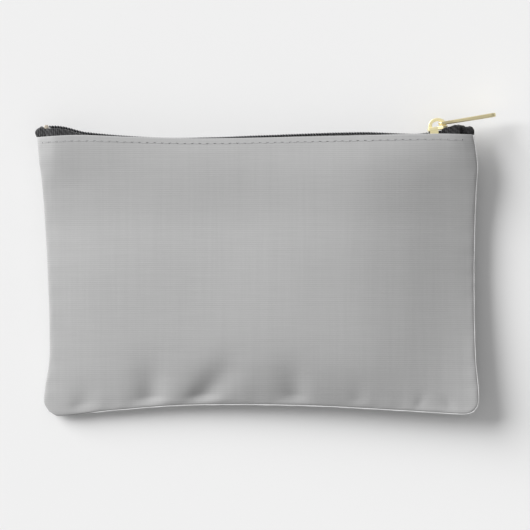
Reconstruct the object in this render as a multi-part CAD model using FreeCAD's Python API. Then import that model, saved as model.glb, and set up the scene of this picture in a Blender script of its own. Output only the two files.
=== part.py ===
import FreeCAD, Part

import math
import os

from FreeCAD import Placement, Rotation, Vector

# Flat zipped cash deposit bag lying on its back panel.
#
# Frame: +X along the zip towards its closed end, +Y from the bottom seam to the zip, +Z up
# from the table.  The origin is the middle of the flat resting face of the back panel.
# Every dimension is in millimetres.

# ---- the bag's own size -------------------------------------------------------------
PANEL_THICKNESS = 0.8        # woven outer cloth, with its turned hem
LINING_THICKNESS = 0.4
LINING_DEPTH = 0.95          # outer face of the panel to the near face of the lining
LINING_INSET_U = 0.032       # shares of the panel's width and height
LINING_INSET_V = 0.047
LINING_TOP_V = 0.925
BELLY_FRONT = 11.6           # how far the filled front panel stands above its edges
BELLY_BACK = 12.0            # the same for the back panel, before the table flattens it
BELLY_SHAPE = 2.5            # higher is fuller towards the seams
SEAM_HEIGHT = 9.0            # side and bottom seams above the table
CORNER_HEIGHT = 12.0         # the same at the two top corners
EDGE_LIFT = 1.2              # outer face of the panel's edge above the seam's middle plane
CORNER_LIFT = 2.0            # the same at the two top corners, where the zip goes in
TABLE_SOFTNESS = 0.8         # how sharply the back panel turns flat on the table
TABLE_BITE = 0.2             # pressed off the back panel so that its rest is a true plane

# Plan outline: points of each edge, (along, across), joined by a smooth curve.
LEFT_EDGE = [(-69.3, -104.8), (-65.0, -107.2), (-40.0, -104.6), (0.0, -105.0),
             (40.0, -107.2), (67.0, -109.4)]
RIGHT_EDGE = [(-68.0, 106.6), (-62.5, 108.2), (-40.0, 106.4), (0.0, 106.0),
              (45.0, 107.1), (68.3, 105.2)]
BOTTOM_EDGE = [(-104.8, -69.3), (-100.5, -71.5), (-75.0, -68.8), (-35.0, -65.9),
               (20.0, -66.0), (70.0, -68.4), (98.0, -70.0), (106.6, -68.0)]
TOP_FOLD = [(-109.4, 67.0), (-90.0, 67.9), (-60.0, 66.9), (-25.0, 66.3),
            (40.0, 67.6), (85.0, 68.6), (105.2, 68.3)]

# ---- the zip --------------------------------------------------------------------------
ZIP_HEIGHT = 12.0            # the zip's middle line above the table
# Tape plane along the bag: it stands out at both ends and sags between them.
ZIP_LINE = [(-111.0, 69.4), (-104.0, 70.6), (-97.0, 70.2), (-86.0, 67.5), (-50.0, 65.0),
            (0.0, 65.3), (50.0, 67.3), (76.0, 66.6), (83.0, 67.3), (88.4, 68.1),
            (94.0, 68.93), (100.0, 70.0), (106.0, 70.4)]
# Half the gap between the two folds: the side seams close it.
HALF_GAP = [(-109.4, 1.2), (-103.0, 2.6), (-97.0, 3.6), (-90.0, 4.9), (-80.0, 5.4),
            (80.0, 5.4), (93.0, 4.9), (99.0, 3.6), (102.0, 2.4), (105.2, 1.2)]
TAPE_THICKNESS = 0.44
TAPE_INNER_EDGE = 0.3        # middle line to the tape's selvedge
TAPE_FLAT = 4.0              # flat part beside the coil, which runs in the slider
TAPE_LEG_DEPTH = 1.4         # outer face of the panel to the middle of the sewn tape
TAPE_LEG_V = 0.938           # the tape is sewn down to here
TAPE_START, TAPE_END = -102.6, 97.0
ZIP_STATIONS = 61            # sections of each strip that follows the zip

TOOTH_PITCH = 1.36
TOOTH_WIDTH = 0.62
TOOTH_TIP = 0.6              # how far a tooth reaches past the middle line
TOOTH_HEEL = 1.85
TOOTH_LEG = 0.5              # each turn of the coil has an upper and a lower leg
TOOTH_HEAD = 0.75            # solid end of a turn, from its tip
COIL_BACK = 2.2              # outer side of the coil
COIL_LOW, COIL_HIGH = 0.36, 1.95
COIL_RAIL_LOW, COIL_RAIL_HIGH = 0.6, 1.6
COIL_START, COIL_END = -103.6, 92.2
CORD_RADIUS = 0.22           # filler cord that runs inside the coil
CORD_OFF_CENTRE = 1.1

# ---- the slider and its pull -----------------------------------------------------------
SLIDER_X = 88.4
SLIDER_TILT = 8.45           # degrees, as the zip rises towards its closed end
SLIDER_HALF_LENGTH = 4.9
SLIDER_REAR_HALF, SLIDER_SHOULDER_HALF, SLIDER_NOSE_HALF = 3.1, 3.9, 2.9
SHOULDER_X = 2.6
ROOF_LOW, ROOF_HIGH = 2.15, 3.85
FLOOR_LOW, FLOOR_HIGH = -1.45, -0.55
FLANGE_LOW, FLANGE_THICKNESS, FLANGE_END = 0.45, 0.62, 0.0
POST_START, POST_WIDE, POST_END, POST_HALF = 2.1, 3.3, 4.5, 0.62
BRIDGE_CENTRE = 4.6          # pivot of the pull above the tape plane
BRIDGE_OUTER_LENGTH, BRIDGE_OUTER_HEIGHT = 4.4, 3.6
BRIDGE_INNER_LENGTH, BRIDGE_INNER_HEIGHT = 2.6, 2.05
BRIDGE_HALF_WIDTH = 1.0

PULL_THIN, PULL_THICK = 1.6, 2.0    # plate thickness at the eye and at the tip
PULL_OFFSET = 0.5            # middle of the plate above the pivot
PULL_TILT = 0.9              # degrees above the slider's own line at rest
PULL_HOLE = (1.5, 4.75, 1.4)  # from, to and half width, from the pivot
PULL_EYE_START, PULL_EYE_HALF = 0.75, 2.5
PULL_NECK, PULL_NECK_HALF = 8.0, 1.75
PULL_TIP, PULL_TIP_HALF = 29.4, 3.1
PULL_TIP_RADIUS = 2.4
EDGE_ROUND = 0.25

# ---- sewing -------------------------------------------------------------------------
STITCH_PITCH = 3.7
STITCH_LENGTH = 2.9
STITCH_RADIUS = 0.17
STITCH_CLEARANCE = 0.05
STITCH_FROM_FOLD_V = 0.0265  # share of the panel's height
SEAM_STAND_OUT = 0.35        # seam's pale edge beyond the panels
SEAM_ALLOWANCE = 5.0         # seam cloth turned inwards
SEAM_TOP, SEAM_UNDER = 0.2, -0.25
SEAM_STATIONS = 22

GRID_U, GRID_V = 41, 27      # points of each cloth surface, closer together at its edges
NORMAL_STEP = 1e-3


def through(points, x):
    """Value at x of a smooth curve through points, straight beyond their ends."""
    last = len(points) - 1

    def slope(i):
        a, b = points[max(i - 1, 0)], points[min(i + 1, last)]
        return (b[1] - a[1]) / (b[0] - a[0])

    if x <= points[0][0]:
        return points[0][1] + slope(0) * (x - points[0][0])
    if x >= points[last][0]:
        return points[last][1] + slope(last) * (x - points[last][0])
    i = max(k for k in range(last) if points[k][0] <= x)
    (x0, y0), (x1, y1) = points[i], points[i + 1]
    h, t = x1 - x0, (x - x0) / (x1 - x0)
    return ((1 + 2 * t) * (1 - t) ** 2 * y0 + t * (1 - t) ** 2 * h * slope(i)
            + t * t * (3 - 2 * t) * y1 + t * t * (t - 1) * h * slope(i + 1))


def ease(t):
    t = min(1.0, max(0.0, t))
    return t * t * (3 - 2 * t)


def mix(a, b, t):
    return a + (b - a) * t


def near_corner(y):
    """Share from 0 to 1 of the way up a side seam to its top corner."""
    return ease((y - 20.0) / 46.0)


def seam_z(y):
    """Height of the side seam: it climbs to the zip at the top corners."""
    return mix(SEAM_HEIGHT, CORNER_HEIGHT, near_corner(y))


def side_edge(edge, side, y):
    """A point of the outer face of a panel at its left or right edge."""
    lift = mix(EDGE_LIFT, CORNER_LIFT, near_corner(y))
    return Vector(through(edge, y), y, seam_z(y) + side * lift)


def crowded(i, count):
    """Share from 0 to 1 of grid line i, with the lines closer together at both ends."""
    t = i / (count - 1)
    return 0.45 * t + 0.55 * (1 - math.cos(math.pi * t)) / 2


# ---- cloth surfaces -------------------------------------------------------------------
def edge_points(side, u, v):
    """The four boundary points that meet at (u, v): left, right, bottom and top."""
    y_left = mix(LEFT_EDGE[0][0], LEFT_EDGE[-1][0], v)
    y_right = mix(RIGHT_EDGE[0][0], RIGHT_EDGE[-1][0], v)
    x_bottom = mix(BOTTOM_EDGE[0][0], BOTTOM_EDGE[-1][0], u)
    x_top = mix(TOP_FOLD[0][0], TOP_FOLD[-1][0], u)
    top_z = ZIP_HEIGHT + side * (through(HALF_GAP, x_top) + PANEL_THICKNESS)
    return (side_edge(LEFT_EDGE, side, y_left),
            side_edge(RIGHT_EDGE, side, y_right),
            Vector(x_bottom, through(BOTTOM_EDGE, x_bottom), SEAM_HEIGHT + side * EDGE_LIFT),
            Vector(x_top, through(TOP_FOLD, x_top), top_z))


def outer_point(side, u, v):
    """A point of the outer face of the front (side 1) or back (side -1) panel."""
    left, right, bottom, top = edge_points(side, u, v)
    bottom_left, bottom_right = edge_points(side, 0, 0)[0], edge_points(side, 1, 0)[1]
    top_left, top_right = edge_points(side, 0, 1)[3], edge_points(side, 1, 1)[3]
    across = left * (1 - u) + right * u
    along = bottom * (1 - v) + top * v
    corners = ((bottom_left * (1 - u) + bottom_right * u) * (1 - v)
               + (top_left * (1 - u) + top_right * u) * v)
    point = across + along - corners
    belly = ((1 - abs(2 * u - 1) ** BELLY_SHAPE) * (1 - abs(2 * v - 1) ** BELLY_SHAPE))
    if side > 0:
        point.z += BELLY_FRONT * belly
    else:
        free = point.z - BELLY_BACK * belly
        point.z = TABLE_SOFTNESS * math.log1p(math.exp(free / TABLE_SOFTNESS)) - TABLE_BITE
    return point


def cloth_point(side, u, v, depth):
    """A point at that depth under the panel's outer face."""
    e = NORMAL_STEP
    du = outer_point(side, min(u + e, 1), v) - outer_point(side, max(u - e, 0), v)
    dv = outer_point(side, u, min(v + e, 1)) - outer_point(side, u, max(v - e, 0))
    normal = du.cross(dv)
    normal.normalize()
    return outer_point(side, u, v) - normal * (side * depth)


def closed_solid(faces):
    shell = Part.Shell(faces)
    shell.sewShape()
    solid = Part.Solid(shell)
    if solid.Volume < 0:
        solid.reverse()
    return solid


def cloth_sheet(side, near, far, u_range=(0, 1), v_range=(0, 1)):
    """A curved sheet between two depths, cut to those shares of the panel."""
    grids = []
    for depth in (near, far):
        grid = [[cloth_point(side, mix(*u_range, crowded(i, GRID_U)),
                             mix(*v_range, crowded(j, GRID_V)), depth)
                 for j in range(GRID_V)] for i in range(GRID_U)]
        surface = Part.BSplineSurface()
        surface.interpolate(grid)
        grids.append(surface)
    outer, inner = grids
    faces = [outer.toShape(), inner.toShape()]
    for pick in (lambda s: s.uIso(s.bounds()[0]), lambda s: s.uIso(s.bounds()[1]),
                 lambda s: s.vIso(s.bounds()[2]), lambda s: s.vIso(s.bounds()[3])):
        faces.append(Part.makeRuledSurface(pick(outer).toShape(), pick(inner).toShape()))
    return closed_solid(faces)


def panel(side):
    sheet = cloth_sheet(side, 0.0, PANEL_THICKNESS)
    if side < 0:
        above_table = Part.makeBox(260, 180, 40, Vector(-130, -90, 0))
        sheet = sheet.common(above_table)
    return sheet


def lining(side):
    return cloth_sheet(side, LINING_DEPTH, LINING_DEPTH + LINING_THICKNESS,
                       (LINING_INSET_U, 1 - LINING_INSET_U),
                       (LINING_INSET_V, LINING_TOP_V))


# ---- lofted strips --------------------------------------------------------------------
def loft(sections):
    """A solid through closed polygons, with straight rules between them."""
    wires = [Part.makePolygon(points + points[:1]) for points in sections]
    solid = Part.makeLoft(wires, True, True)
    if solid.Volume < 0:
        solid.reverse()
    return solid


def thick_line(points, half):
    """Closed outline of a line in the YZ plane, given that much cloth on each side."""
    normals = []
    for a, b in zip(points, points[1:]):
        length = math.hypot(b[0] - a[0], b[1] - a[1])
        normals.append(((a[1] - b[1]) / length, (b[0] - a[0]) / length))
    offsets = []
    for i in range(len(points)):
        n0, n1 = normals[max(i - 1, 0)], normals[min(i, len(normals) - 1)]
        share = 1 + n0[0] * n1[0] + n0[1] * n1[1]
        offsets.append(((n0[0] + n1[0]) / share * half, (n0[1] + n1[1]) / share * half))
    one_side = [(p[0] + o[0], p[1] + o[1]) for p, o in zip(points, offsets)]
    other_side = [(p[0] - o[0], p[1] - o[1]) for p, o in zip(points, offsets)]
    return one_side + other_side[::-1]


def zip_y(x):
    return through(ZIP_LINE, x)


def zip_angle(x):
    return math.degrees(math.atan2(zip_y(x + 0.5) - zip_y(x - 0.5), 1.0))


def spread(x):
    """How far each half of the zip stands off the middle line, ahead of the slider."""
    return 1.7 * ease((x - SLIDER_X - 0.2) / 3.4)


def strip(x_from, x_to, outline_at):
    """A solid along the zip, from outlines of (y, z) points at stations of x.

    The stations are close together where the two rows part, ahead of the slider.
    """
    evenly = [mix(x_from, x_to, i / (ZIP_STATIONS - 1)) for i in range(ZIP_STATIONS)]
    parting = [SLIDER_X + 0.6 * k for k in range(8)]
    apart = [x for x in evenly if x < parting[0] - 0.3 or x > parting[-1] + 0.3]
    stations = sorted(apart + [x for x in parting if x_from < x < x_to])
    return loft([[Vector(x, y, z) for y, z in outline_at(x)] for x in stations])


def fold_u(x):
    """The panel's u where its top fold is at x."""
    return (x - TOP_FOLD[0][0]) / (TOP_FOLD[-1][0] - TOP_FOLD[0][0])


def zip_tape(side):
    """Half of the tape: flat beside the coil, then turned down and sewn under the panel."""
    def outline_at(x):
        gap = through(HALF_GAP, x)
        inner = min(TAPE_INNER_EDGE + spread(x), gap - 1.3)
        fold = cloth_point(side, fold_u(x), 1.0, TAPE_LEG_DEPTH)
        sewn = cloth_point(side, fold_u(x), TAPE_LEG_V, TAPE_LEG_DEPTH)
        flat = min(TAPE_FLAT, gap - 0.75)
        line = [(zip_y(x), ZIP_HEIGHT + side * max(inner, 0.26)),
                (zip_y(x), ZIP_HEIGHT + side * flat),
                (min(fold.y, zip_y(x) - 1.0), fold.z),
                (sewn.y, sewn.z)]
        return thick_line(line, TAPE_THICKNESS / 2)
    return strip(TAPE_START, TAPE_END, outline_at)


def on_zip(shape, x, off_centre=0.0):
    """A copy of a shape, modelled with the tape plane at y 0, on the zip's line at x."""
    placed = shape.copy()
    placed.Placement = Placement(Vector(x, zip_y(x), ZIP_HEIGHT + off_centre),
                                 Rotation(Vector(0, 0, 1), zip_angle(x)))
    return placed


def block(x0, x1, y0, y1, z0, z1):
    low = Vector(min(x0, x1), min(y0, y1), min(z0, z1))
    return Part.makeBox(abs(x1 - x0), abs(y1 - y0), abs(z1 - z0), low)


def tooth(side):
    """One turn of the coil: a solid head and two legs with the cord's way between them."""
    turn = block(-TOOTH_WIDTH / 2, TOOTH_WIDTH / 2, COIL_LOW, COIL_HIGH,
                 -side * TOOTH_TIP, side * TOOTH_HEEL)
    way = block(-TOOTH_WIDTH, TOOTH_WIDTH, COIL_LOW + TOOTH_LEG, COIL_HIGH - TOOTH_LEG,
                side * (TOOTH_HEAD - TOOTH_TIP), side * TOOTH_HEEL * 2)
    return turn.cut(way)


def coil(side):
    """One row: a tooth for each turn of the coil, and the back of the turns as a rail."""
    count = int((COIL_END - COIL_START) / TOOTH_PITCH)
    start = COIL_START + (TOOTH_PITCH / 2 if side < 0 else 0.0)
    turn = tooth(side)
    places = [start + i * TOOTH_PITCH for i in range(count)]
    solids = [on_zip(turn, x, side * spread(x)) for x in places]

    def outline_at(x):
        near = ZIP_HEIGHT + side * (spread(x) + TOOTH_HEEL)
        far = ZIP_HEIGHT + side * (spread(x) + COIL_BACK)
        low, high = zip_y(x) + COIL_RAIL_LOW, zip_y(x) + COIL_RAIL_HIGH
        return [(low, near), (high, near), (high, far), (low, far)]

    solids.append(strip(places[0] - 0.4, places[-1] + 0.4, outline_at))
    return Part.Compound(solids)


def coil_cord(side):
    """Filler cord through the turns of one coil row."""
    def outline_at(x):
        y = zip_y(x) + (COIL_LOW + COIL_HIGH) / 2
        z = ZIP_HEIGHT + side * (spread(x) + CORD_OFF_CENTRE)
        corners = [math.radians(60 * k) for k in range(6)]
        return [(y + CORD_RADIUS * math.cos(a), z + CORD_RADIUS * math.sin(a))
                for a in corners]
    return strip(COIL_START - 0.9, COIL_END - 0.4, outline_at)


def rounded(shape, radius, edges=None):
    """The shape with its edges rounded, as far as the kernel can."""
    try:
        made = shape.makeFillet(radius, edges or shape.Edges)
        if made.isValid() and made.Volume > 0:
            return made
    except Part.OCCError:
        pass
    return shape


def bottom_stop():
    """Crimped clip that joins both rows at the open end of the travel."""
    clip = block(-0.9, 0.9, COIL_LOW, 2.3, -2.3, 2.3)
    return on_zip(rounded(clip, 0.3), COIL_START - 1.9)


def top_stop(side):
    x = COIL_END + 2.6
    shift = spread(x)
    clip = block(-1.0, 1.0, COIL_LOW, 2.1, side * (shift - 0.6), side * (shift + 1.5))
    return on_zip(rounded(clip, 0.3), x)


def zip_end(stations):
    """Folded tape end that the side seam holds: (x, low y, high y, half thickness)."""
    sections = []
    for x, low, high, half in stations:
        sections.append([Vector(x, low, ZIP_HEIGHT - half), Vector(x, high, ZIP_HEIGHT - half * 0.6),
                         Vector(x, high, ZIP_HEIGHT + half * 0.6), Vector(x, low, ZIP_HEIGHT + half)])
    return loft(sections)


# ---- slider -----------------------------------------------------------------------------
def slider_plan(shrink=0.0):
    """Outline of a blade, seen from above the zip: narrow rear, wide shoulders, nose."""
    half = [(-SLIDER_HALF_LENGTH + shrink, SLIDER_REAR_HALF - 0.5),
            (-SLIDER_HALF_LENGTH + 0.5, SLIDER_REAR_HALF - shrink),
            (FLANGE_END, SLIDER_REAR_HALF - shrink),
            (SHOULDER_X, SLIDER_SHOULDER_HALF - shrink),
            (SLIDER_HALF_LENGTH - 0.6, SLIDER_NOSE_HALF - shrink),
            (SLIDER_HALF_LENGTH - shrink, SLIDER_NOSE_HALF - 1.2)]
    return half + [(x, -z) for x, z in reversed(half)]


def prism(outline, y0, y1):
    """An outline of (x, z) points, given height along y."""
    points = [Vector(x, y0, z) for x, z in outline]
    face = Part.Face(Part.makePolygon(points + points[:1]))
    return face.extrude(Vector(0, y1 - y0, 0))


def arch():
    """Bridge over the slider that the pull hangs on."""
    base = ROOF_HIGH - 0.05
    a, r = BRIDGE_OUTER_LENGTH, BRIDGE_INNER_LENGTH
    c, w = BRIDGE_CENTRE, BRIDGE_HALF_WIDTH

    def dome(half_length, height):
        ellipse = Part.Ellipse(Vector(0, c, -w), half_length, height)
        return Part.ArcOfEllipse(ellipse, 0, math.pi).toShape()

    def line(p, q):
        return Part.makeLine(Vector(*p, -w), Vector(*q, -w))

    outer = dome(a, BRIDGE_OUTER_HEIGHT)
    inner = dome(r, BRIDGE_INNER_HEIGHT)
    edges = [outer, line((-a, c), (-a, base)), line((-a, base), (-r, base)),
             line((-r, base), (-r, c)), inner, line((r, c), (r, base)),
             line((r, base), (a, base)), line((a, base), (a, c))]
    face = Part.Face(Part.Wire(Part.__sortEdges__(edges)))
    return rounded(face.extrude(Vector(0, 0, 2 * w)), 0.3)


def slider_body():
    roof = rounded(prism(slider_plan(), ROOF_LOW, ROOF_HIGH), EDGE_ROUND)
    floor = rounded(prism(slider_plan(0.2), FLOOR_LOW, FLOOR_HIGH), EDGE_ROUND)
    body = roof.fuse(floor)
    for side in (1, -1):
        inner = SLIDER_REAR_HALF - FLANGE_THICKNESS
        flange = block(-SLIDER_HALF_LENGTH + 0.7, FLANGE_END, FLANGE_LOW, ROOF_LOW + 0.3,
                       side * inner, side * (SLIDER_REAR_HALF - 0.04))
        body = body.fuse(flange)
    post = prism([(POST_START, 0.0), (POST_WIDE, POST_HALF), (POST_END, POST_HALF * 0.6),
                  (POST_END, -POST_HALF * 0.6), (POST_WIDE, -POST_HALF)],
                 FLOOR_HIGH - 0.3, ROOF_LOW + 0.3)
    body = body.fuse([post, arch()]).removeSplitter()
    return on_slider(body)


def on_slider(shape):
    shape.Placement = Placement(Vector(SLIDER_X, zip_y(SLIDER_X), ZIP_HEIGHT),
                                Rotation(Vector(0, 0, 1), SLIDER_TILT))
    return shape


def pull_plan():
    """Outline of the pull seen square on: an eye, a neck and a wider rounded tip."""
    eye_mid = (PULL_HOLE[0] + PULL_HOLE[1]) / 2
    tip_in = PULL_TIP - PULL_TIP_RADIUS
    corner = PULL_TIP_RADIUS * (1 - math.sqrt(0.5))
    tip_flat = PULL_TIP_HALF - PULL_TIP_RADIUS
    edges = []
    for side in (1, -1):
        def at(x, z):
            return Vector(x, -PULL_THICK, side * z)
        edges += [
            Part.makeLine(at(PULL_EYE_START, 0), at(PULL_EYE_START, 1.2)),
            Part.Arc(at(PULL_EYE_START, 1.2), at(PULL_EYE_START + 0.5, 2.1),
                     at(eye_mid, PULL_EYE_HALF)).toShape(),
            Part.Arc(at(eye_mid, PULL_EYE_HALF), at(eye_mid + 2.6, PULL_EYE_HALF * 0.85),
                     at(PULL_NECK, PULL_NECK_HALF)).toShape(),
            Part.makeLine(at(PULL_NECK, PULL_NECK_HALF), at(tip_in, PULL_TIP_HALF)),
            Part.Arc(at(tip_in, PULL_TIP_HALF), at(PULL_TIP - corner, PULL_TIP_HALF - corner),
                     at(PULL_TIP, tip_flat)).toShape(),
            Part.makeLine(at(PULL_TIP, tip_flat), at(PULL_TIP, 0))]
    return Part.Face(Part.Wire(Part.__sortEdges__(edges)))


def pull_tab():
    """Tapered pull with an eye round the bridge, modelled along +x from its pivot."""
    plate = pull_plan().extrude(Vector(0, 2 * PULL_THICK + PULL_OFFSET, 0))
    profile = [(0.0, PULL_OFFSET - PULL_THIN / 2), (PULL_TIP + 1, PULL_OFFSET - PULL_THICK / 2),
               (PULL_TIP + 1, PULL_OFFSET + PULL_THICK / 2), (0.0, PULL_OFFSET + PULL_THIN / 2)]
    points = [Vector(x, y, -5) for x, y in profile]
    wedge = Part.Face(Part.makePolygon(points + points[:1])).extrude(Vector(0, 0, 10))
    tab = rounded(plate.common(wedge), 0.4)
    hole = block(PULL_HOLE[0], PULL_HOLE[1], -5, 5, -PULL_HOLE[2], PULL_HOLE[2])
    upright = [e for e in hole.Edges if abs(e.tangentAt(e.FirstParameter).y) > 0.9]
    tab = tab.cut(rounded(hole, 0.7, upright))
    pivot = on_slider(Part.Vertex(0, BRIDGE_CENTRE, 0)).Point
    tab.Placement = Placement(pivot, Rotation(Vector(0, 0, 1), SLIDER_TILT + PULL_TILT))
    return tab


# ---- sewing -----------------------------------------------------------------------------
def topstitch(side):
    """One row of stitches along the fold, each a short bar of thread on the cloth."""
    v = 1 - STITCH_FROM_FOLD_V
    span = TOP_FOLD[-1][0] - TOP_FOLD[0][0]
    count = int((span - 6.0) / STITCH_PITCH)
    solids = []
    for i in range(count):
        u0 = (3.0 + i * STITCH_PITCH) / span
        u1 = u0 + STITCH_LENGTH / span
        above = -(STITCH_RADIUS + STITCH_CLEARANCE)
        a, b = cloth_point(side, u0, v, above), cloth_point(side, u1, v, above)
        solids.append(Part.makeCylinder(STITCH_RADIUS, (b - a).Length, a, b - a))
    return Part.Compound(solids)


def seam(edge_at, inward_at):
    """A side or bottom seam: edge_at(t) is on the outline, inward_at(t) points inside."""
    sections = []
    for i in range(SEAM_STATIONS):
        t = i / (SEAM_STATIONS - 1)
        p, inward = edge_at(t), inward_at(t)
        outer, inner = p - inward * SEAM_STAND_OUT, p + inward * SEAM_ALLOWANCE
        sections.append([Vector(outer.x, outer.y, p.z + SEAM_UNDER),
                         Vector(outer.x, outer.y, p.z + SEAM_TOP),
                         Vector(inner.x, inner.y, p.z + SEAM_TOP),
                         Vector(inner.x, inner.y, p.z + SEAM_UNDER)])
    return loft(sections)


def side_seam(edge, inward):
    def edge_at(t):
        y = mix(edge[0][0] + 1.2, edge[-1][0] - 1.5, t)
        return Vector(through(edge, y), y, seam_z(y))
    return seam(edge_at, lambda t: Vector(inward, 0, 0))


def bottom_seam():
    def edge_at(t):
        x = mix(BOTTOM_EDGE[0][0] + 5.6, BOTTOM_EDGE[-1][0] - 5.6, t)
        return Vector(x, through(BOTTOM_EDGE, x), SEAM_HEIGHT)
    return seam(edge_at, lambda t: Vector(0, 1, 0))


LEFT_END = [(-103.0, 69.0, 70.5, 2.3), (-106.6, 68.2, 70.3, 2.1), (-107.3, 67.7, 71.9, 2.0),
            (-109.0, 67.4, 71.4, 1.6), (-110.7, 68.0, 69.9, 0.8)]
RIGHT_END = [(97.3, 69.4, 72.8, 3.0), (100.6, 68.9, 72.7, 2.1), (103.8, 68.8, 72.1, 1.0),
             (105.4, 69.0, 71.0, 0.6)]


def parts():
    return {
        "front_panel": panel(1),
        "back_panel": panel(-1),
        "front_lining": lining(1),
        "back_lining": lining(-1),
        "front_zip_tape": zip_tape(1),
        "back_zip_tape": zip_tape(-1),
        "front_zip_coil": coil(1),
        "back_zip_coil": coil(-1),
        "front_coil_cord": coil_cord(1),
        "back_coil_cord": coil_cord(-1),
        "left_zip_end": zip_end(LEFT_END),
        "right_zip_end": zip_end(RIGHT_END),
        "bottom_stop": bottom_stop(),
        "front_top_stop": top_stop(1),
        "back_top_stop": top_stop(-1),
        "slider_body": slider_body(),
        "pull_tab": pull_tab(),
        "front_topstitch": topstitch(1),
        "back_topstitch": topstitch(-1),
        "left_side_seam": side_seam(LEFT_EDGE, 1),
        "right_side_seam": side_seam(RIGHT_EDGE, -1),
        "bottom_seam": bottom_seam(),
    }


def main():
    os.makedirs("parts", exist_ok=True)
    for name, shape in parts().items():
        shape.exportStep(f"parts/{name}.step")
        box = shape.BoundBox
        print(f"{name:18} valid {shape.isValid()} solids {len(shape.Solids):3} "
              f"volume {shape.Volume:9.1f}  x {box.XMin:7.1f} {box.XMax:7.1f}  "
              f"y {box.YMin:6.1f} {box.YMax:6.1f}  z {box.ZMin:5.2f} {box.ZMax:5.2f}")


if __name__ == "__main__":
    main()
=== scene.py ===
"""Zipped cash deposit bag lying on its back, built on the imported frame.

Lengths in this file are millimetres unless a name says otherwise; meshes are written in
metres.  +X runs along the zip to its closed end, +Y from the bottom seam to the zip, +Z up.
"""

import math

import bpy
import numpy as np
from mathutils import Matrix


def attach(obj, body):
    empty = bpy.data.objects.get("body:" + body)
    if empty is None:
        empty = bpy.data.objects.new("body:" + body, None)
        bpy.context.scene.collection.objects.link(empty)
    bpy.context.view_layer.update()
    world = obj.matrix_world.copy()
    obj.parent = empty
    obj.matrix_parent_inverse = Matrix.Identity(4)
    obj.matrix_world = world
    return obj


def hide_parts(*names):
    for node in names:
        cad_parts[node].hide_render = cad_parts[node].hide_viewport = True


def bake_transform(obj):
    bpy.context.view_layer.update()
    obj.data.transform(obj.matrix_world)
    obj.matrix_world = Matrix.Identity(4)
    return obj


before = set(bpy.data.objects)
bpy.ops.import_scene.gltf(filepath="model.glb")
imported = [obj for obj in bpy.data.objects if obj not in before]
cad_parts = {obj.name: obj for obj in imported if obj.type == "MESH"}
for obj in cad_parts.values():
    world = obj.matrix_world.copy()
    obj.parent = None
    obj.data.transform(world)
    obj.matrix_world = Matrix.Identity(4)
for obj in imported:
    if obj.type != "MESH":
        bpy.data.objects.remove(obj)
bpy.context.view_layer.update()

MM = 0.001

# ---- outline and section of the bag, close to the CAD's -----------------------------------
LEFT_EDGE = [(-69.3, -105.0), (-65.0, -107.4), (-58.0, -107.0), (-42.0, -104.8), (-5.0, -105.2),
             (30.0, -107.0), (47.0, -108.3), (55.0, -109.4), (67.0, -110.3)]
RIGHT_EDGE = [(-69.0, 105.4), (-66.4, 107.3), (-62.5, 108.1), (-40.0, 106.4), (0.0, 106.0),
              (37.0, 106.8), (52.0, 107.5), (61.0, 106.6), (68.3, 105.3)]
BOTTOM_EDGE = [(-105.0, -69.3), (-100.5, -71.5), (-75.0, -68.8), (-35.0, -65.9),
               (20.0, -66.0), (70.0, -68.4), (98.0, -70.0), (102.6, -69.95), (105.4, -69.0)]
TOP_FOLD = [(-110.3, 67.0), (-90.0, 67.9), (-60.0, 66.9), (-25.0, 66.3),
            (40.0, 67.6), (85.0, 68.6), (105.3, 68.3)]
ZIP_LINE = [(-111.0, 69.4), (-104.0, 70.6), (-97.0, 70.2), (-86.0, 67.5), (-50.0, 64.8),
            (-22.0, 65.0), (0.0, 65.9), (50.0, 67.5), (76.0, 66.7), (83.0, 67.3), (88.4, 68.1),
            (94.0, 68.93), (100.0, 70.0), (106.0, 70.4)]
HALF_GAP = [(-109.4, 1.9), (-106.0, 3.2), (-102.0, 4.4), (-97.0, 4.9), (-91.0, 5.1), (-80.0, 5.4),
            (80.0, 5.4), (93.0, 4.9), (99.0, 4.0), (102.0, 3.1), (105.2, 1.9)]
GAP_ROUNDNESS = 4            # of the gap's shape away from the zip
GAP_BAND = 0.2               # share of the height over which the cloth takes the gap's own shape
BAG_WIDTH, BAG_HEIGHT = 214.0, 136.0    # between the seams
ZIP_HEIGHT = 12.0
SEAM_HEIGHT, CORNER_HEIGHT = 9.0, 12.0
CORNER_START, CORNER_SPAN = 20.0, 46.0  # in y, where the seam climbs to the zip's height
BOTTOM_LEFT_DROP, BOTTOM_RIGHT_RISE = -5.0, 4.0
BOTTOM_START, BOTTOM_SPAN = 10.0, 70.0  # in y, downwards: where the low corners take effect
EDGE_LIFT, CORNER_LIFT = 1.2, 2.7
BELLY_FRONT, BELLY_BACK, BELLY_SHAPE = 9.4, 12.0, 2.5
# Rise of the filled front, as shares of its height: it is fullest right of the middle and
# falls off more steeply towards the bottom seam than towards the zip.
FRONT_ACROSS = [(0.0, 0.0), (0.047, 0.14), (0.126, 0.345), (0.31, 0.70), (0.5, 0.95), (0.617, 1.0),
                (0.734, 0.93), (0.827, 0.67), (0.92, 0.28), (1.0, 0.0)]
FRONT_ALONG = [(0.0, 0.0), (0.083, 0.47), (0.166, 0.8), (0.287, 1.0), (0.46, 1.02), (0.61, 0.9),
               (0.84, 0.5), (1.0, 0.0)]
TABLE_SOFTNESS = 0.8
CLOTH_THICKNESS = 0.36
PANEL_DEPTH = 0.8            # of the CAD's panel
FLOOR_CLEARANCE = 0.02
MOST_CLEARANCE = 3.0         # of a layer inside the back panel
SLIDER_X = 88.4
PITCH = 1.36                 # of the coil's turns

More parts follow.
